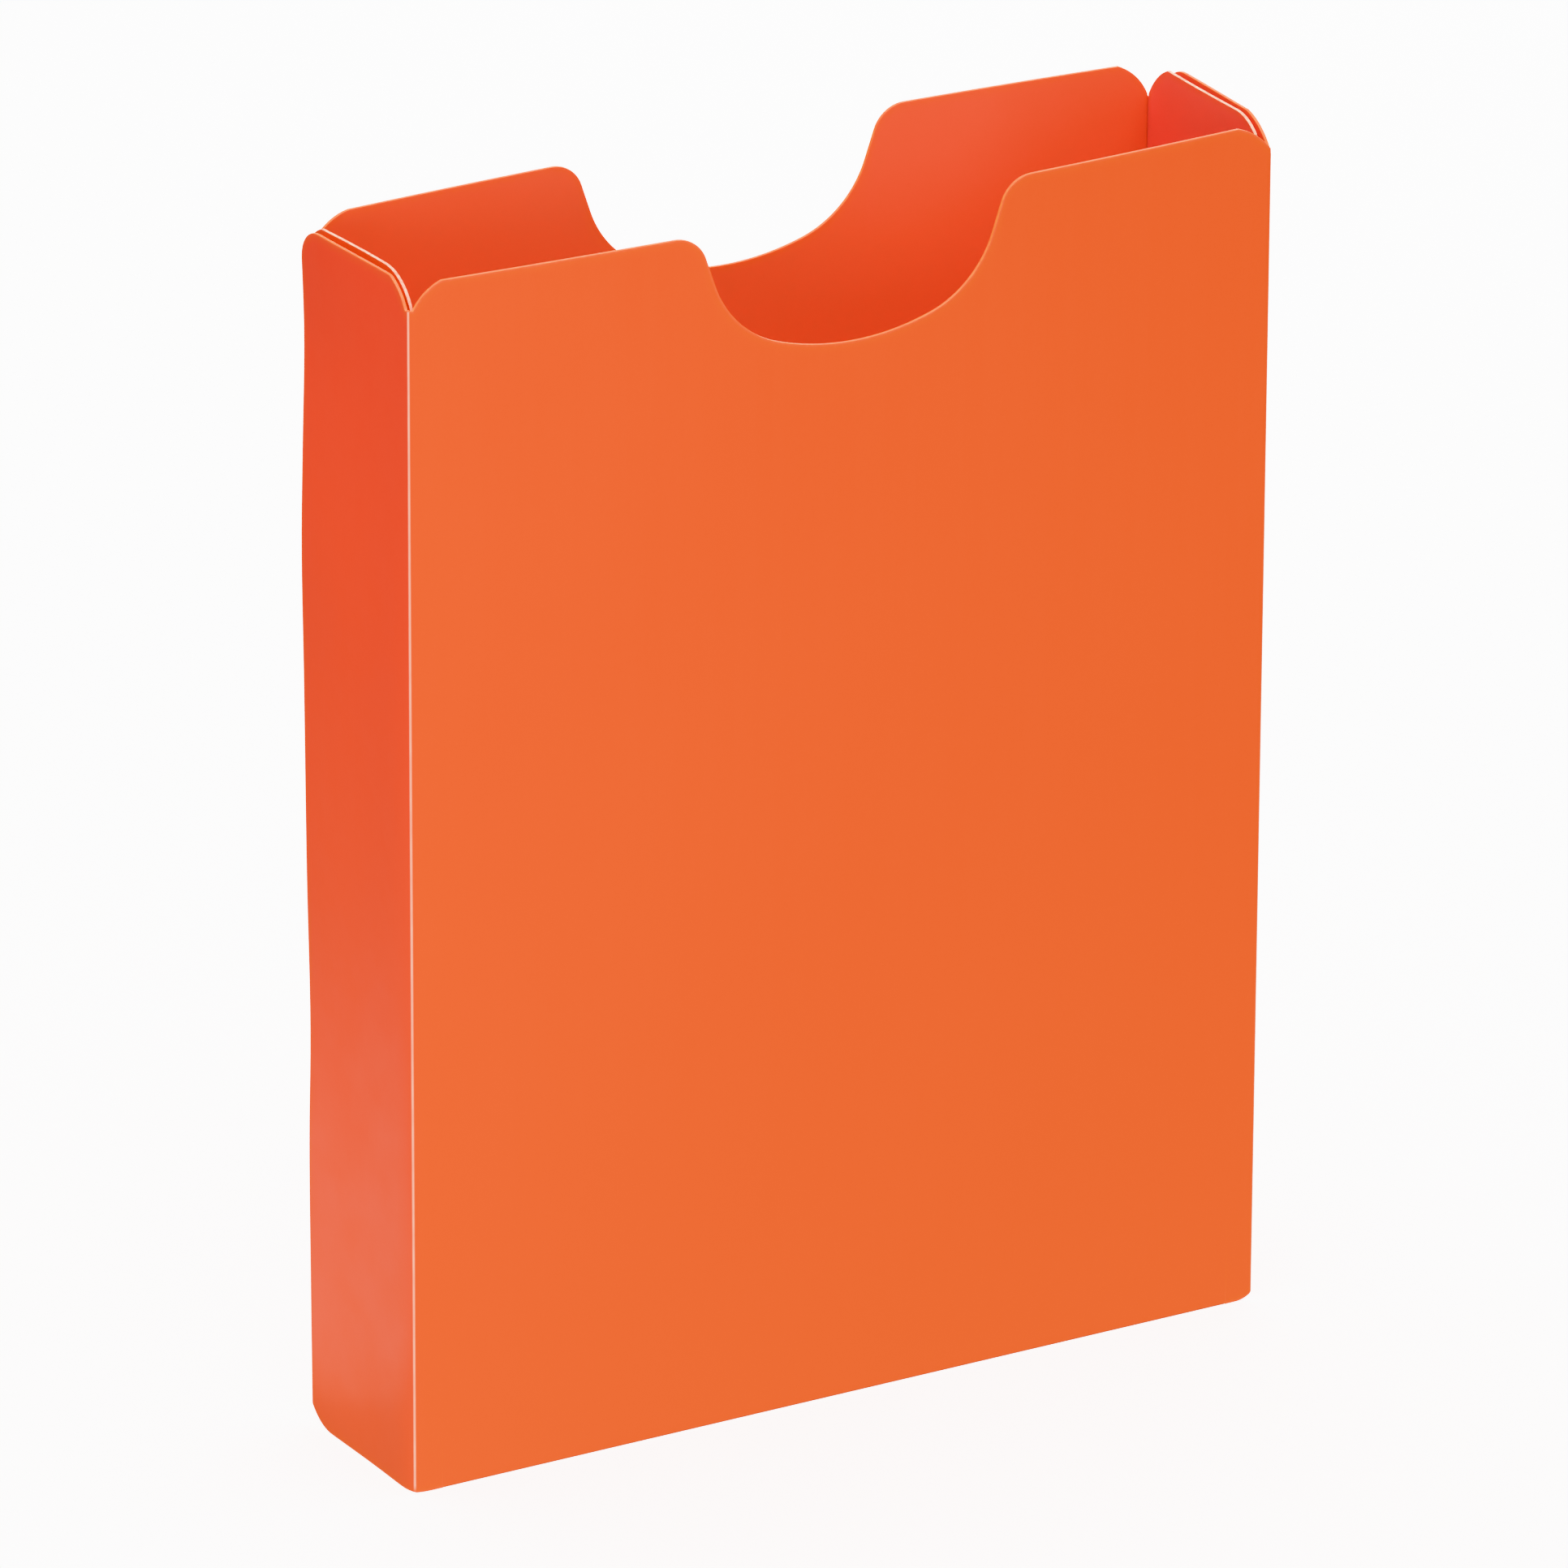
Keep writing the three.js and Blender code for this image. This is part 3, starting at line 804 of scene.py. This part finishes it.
def build_base():
    radius = BASE_HALF - BASE_CREASE_HALF
    reach = FOLD_Y - CREASE_LEG
    angles = np.linspace(0, math.pi / 2, ARC_STEPS)
    arc = BASE_CREASE_HALF + radius * np.sin(angles)
    x = fill(np.concatenate([-arc, arc]))
    inside = np.clip(np.abs(x) - BASE_CREASE_HALF, 0, radius)
    side = reach - radius + np.sqrt(radius**2 - inside**2)
    middle = (x[1:] + x[:-1]) / 2
    cut = np.abs(middle) > BASE_CREASE_HALF
    outline = Outline(x, -side, side, cut_bottom=cut, cut_top=cut, cut_left=True, cut_right=True)
    arrays = sheet_arrays(base_surface, sheet_thickness, outline, 2 * reach)
    place("base_panel", arrays, 1.0, [SHEET_LOOK, WALL_EDGE])


def build_strip(node, outer_out, inner_out, side):
    """A strip of transfer tape that fills the gap between the two layers of an end."""
    low, high = box(node)

    def outer_face(a, v):
        y = side * a
        outward = outer_out(y + FOLD_Y, v)
        return points(side * (OUTER_HALF - SHEET + outward - TAPE_CLEARANCE), y, v)

    def gap(a, v):
        y = side * a
        return LAYER_GAP - 2 * TAPE_CLEARANCE + outer_out(y + FOLD_Y, v) - inner_out(FOLD_Y - y, v)

    a = fill(sorted([side * low[1], side * high[1]]), TAPE_SPACING)
    wander = TAPE_WANDER * np.sin(a * 1.9 + side)
    bottom, top = low[2] + wander, high[2] - wander
    outline = Outline(a, bottom, top, cut_left=True, cut_right=True)
    arrays = sheet_arrays(outer_face, gap, outline, high[2] - low[2])
    place(node, arrays, 1.0, [TAPE, TAPE])


FRONT_SEED, BACK_SEED = 0.4, 2.1
build_wall("front_wall", OUTER_HALF, (FRONT_CORNER, WIDE_CORNER), FRONT_RISES, FRONT_SEED, 1.0)
build_wall("back_wall", INNER_HALF, (BACK_CORNER, ROUND_CORNER), BACK_RISES, BACK_SEED, -1.0)
build_flap("outer_flap_left", OUTER_HALF, OUTER_LEFT, FRONT_CORNER, OUTER_FREE,
           FRONT_RISES[0], True, 1.0, OUTER_EDGE)
build_flap("outer_flap_right", OUTER_HALF, OUTER_RIGHT, ROUND_CORNER, OUTER_FREE,
           FRONT_RISES[1], False, 1.0, OUTER_EDGE)
build_flap("inner_flap_right", INNER_HALF, INNER_RIGHT, BACK_CORNER, INNER_FREE_RIGHT,
           BACK_RISES[0], True, -1.0, INNER_EDGE_HIGHLIGHT, inner_face)
build_flap("inner_flap_left", INNER_HALF, INNER_LEFT, BACK_CORNER, INNER_FREE_LEFT,
           BACK_RISES[1], False, -1.0, INNER_EDGE_HIGHLIGHT, inner_face)
build_upright_crease("crease_front_left", OUTER_HALF, OUTER_LEFT, FRONT_SEED, (FRONT_CORNER, FRONT_CORNER),
                     FRONT_RISES[0], True, 1.0)
build_upright_crease("crease_front_right", OUTER_HALF, OUTER_RIGHT, FRONT_SEED, (WIDE_CORNER, ROUND_CORNER),
                     FRONT_RISES[1], False, 1.0)
build_upright_crease("crease_back_right", INNER_HALF, INNER_RIGHT, BACK_SEED, (BACK_CORNER, BACK_CORNER),
                     BACK_RISES[0], True, -1.0)
build_upright_crease("crease_back_left", INNER_HALF, INNER_LEFT, BACK_SEED, (ROUND_CORNER, BACK_CORNER),
                     BACK_RISES[1], False, -1.0)
build_base()
build_base_crease("crease_base_front", OUTER_HALF, FRONT_SEED, 1.0)
build_base_crease("crease_base_back", INNER_HALF, BACK_SEED, -1.0)
for side, label, outer_out, inner_out in ((-1.0, "left", OUTER_LEFT, INNER_LEFT),
                                          (1.0, "right", OUTER_RIGHT, INNER_RIGHT)):
    for end in ("front", "back"):
        build_strip(f"bond_strip_{label}_{end}", outer_out, inner_out, side)


# ---------------------------------------------------------------- studio, in metres
FLOOR_HALF = 60.0
FLOOR_GAP = 0.0002
AZIMUTH, ELEVATION, ROLL = math.radians(-30.1), math.radians(21.86), math.radians(0.26)
DISTANCE = 3.5318
TARGET = (-0.0012, 0.0, 0.1573)
SENSOR_WIDTH, LENS = 36.0, 323.7


def add_floor():
    """A plain pale floor that shines a little by itself, and that neither tints nor mirrors in the object."""
    shader = Shader("studio_floor")
    tone = shader.ramp(shader.noise(0.25, 2.0), 0.3, 0.7)
    colour = shader.mix(tone, linear(0.34, 0.34, 0.34), linear(0.36, 0.36, 0.36))
    shader.link(colour, shader.principled.inputs["Base Color"])
    shader.principled.inputs["Emission Color"].default_value = (1, 1, 1, 1)
    shader.principled.inputs["Emission Strength"].default_value = 1.9
    shader.principled.inputs["Roughness"].default_value = 0.9
    shader.principled.inputs["Specular IOR Level"].default_value = 0.2
    mesh = bpy.data.meshes.new("studio_floor")
    size = FLOOR_HALF
    corners = [(-size, -size, 0), (size, -size, 0), (size, size, 0), (-size, size, 0)]
    mesh.from_pydata(corners, [], [(0, 1, 2, 3)])
    mesh.materials.append(shader.material)
    floor = bpy.data.objects.new("studio_floor", mesh)
    floor.location.z = -FLOOR_GAP
    floor.visible_diffuse = False
    floor.visible_glossy = False
    bpy.context.scene.collection.objects.link(floor)


def aim(lamp, at, target):
    lamp.location = at
    lamp.rotation_mode = "QUATERNION"
    lamp.rotation_quaternion = (Vector(target) - Vector(at)).to_track_quat("-Z", "Y")
    bpy.context.scene.collection.objects.link(lamp)


def add_area(name, at, target, size, power):
    light = bpy.data.lights.new(name, "AREA")
    light.shape = "RECTANGLE"
    light.size, light.size_y = size
    light.energy = power
    lamp = bpy.data.objects.new(name, light)
    lamp.visible_camera = False
    aim(lamp, at, target)


def add_overhead(strength, spread, at):
    light = bpy.data.lights.new("overhead", "SUN")
    light.energy = strength
    light.angle = spread
    aim(bpy.data.objects.new("overhead", light), at, (0, 0, 0))


def add_world(level, towards_front, towards_right, seen):
    """Soft surroundings, brighter towards the front, with plain white seen behind the floor's edge."""
    world = bpy.data.worlds.new("studio")
    world.use_nodes = True
    tree = world.node_tree
    background = tree.nodes["Background"]
    background.inputs["Color"].default_value = (1, 1, 1, 1)
    where = tree.nodes.new("ShaderNodeTexCoord")
    lean = tree.nodes.new("ShaderNodeVectorMath")
    lean.operation = "DOT_PRODUCT"
    lean.inputs[1].default_value = (towards_right, -towards_front, 0)
    tree.links.new(where.outputs["Generated"], lean.inputs[0])
    lit = tree.nodes.new("ShaderNodeMath")
    lit.inputs[1].default_value = level
    tree.links.new(lean.outputs["Value"], lit.inputs[0])
    ray = tree.nodes.new("ShaderNodeLightPath")
    shown = tree.nodes.new("ShaderNodeMix")
    shown.inputs["B"].default_value = seen
    tree.links.new(ray.outputs["Is Camera Ray"], shown.inputs["Factor"])
    tree.links.new(lit.outputs["Value"], shown.inputs["A"])
    tree.links.new(shown.outputs["Result"], background.inputs["Strength"])
    bpy.context.scene.world = world


def add_camera():
    back = Vector((math.sin(AZIMUTH) * math.cos(ELEVATION), -math.cos(AZIMUTH) * math.cos(ELEVATION),
                   math.sin(ELEVATION)))
    level = Vector((math.cos(AZIMUTH), math.sin(AZIMUTH), 0))
    up = back.cross(level)
    right = level * math.cos(ROLL) + up * math.sin(ROLL)
    up = up * math.cos(ROLL) - level * math.sin(ROLL)
    data = bpy.data.cameras.new("camera")
    data.sensor_width, data.lens = SENSOR_WIDTH, LENS
    data.clip_start, data.clip_end = 0.1, 100.0
    camera = bpy.data.objects.new("camera", data)
    turn = Matrix((right, up, back)).transposed().to_4x4()
    camera.matrix_world = Matrix.Translation(Vector(TARGET) + back * DISTANCE) @ turn
    bpy.context.scene.collection.objects.link(camera)
    bpy.context.scene.camera = camera


add_floor()
add_world(0.44, 0.12, 0.0, 2.7)
add_overhead(4.8, math.radians(65), (-0.28, -0.7, 4.0))
add_area("front_softbox", (-0.75, -0.9, 0.25), (0, 0, 0.12), (0.6, 0.6), 5.0)
add_area("low_card", (-0.205, 0.135, 0.002), (-0.205, 0.135, 1.0), (0.14, 0.22), 0.058)
add_area("rear_softbox", (0.85, 1.0, 0.3), (0, 0, 0.15), (0.9, 0.9), 11.0)
add_camera()
bpy.context.scene.view_settings.view_transform = "Khronos PBR Neutral"
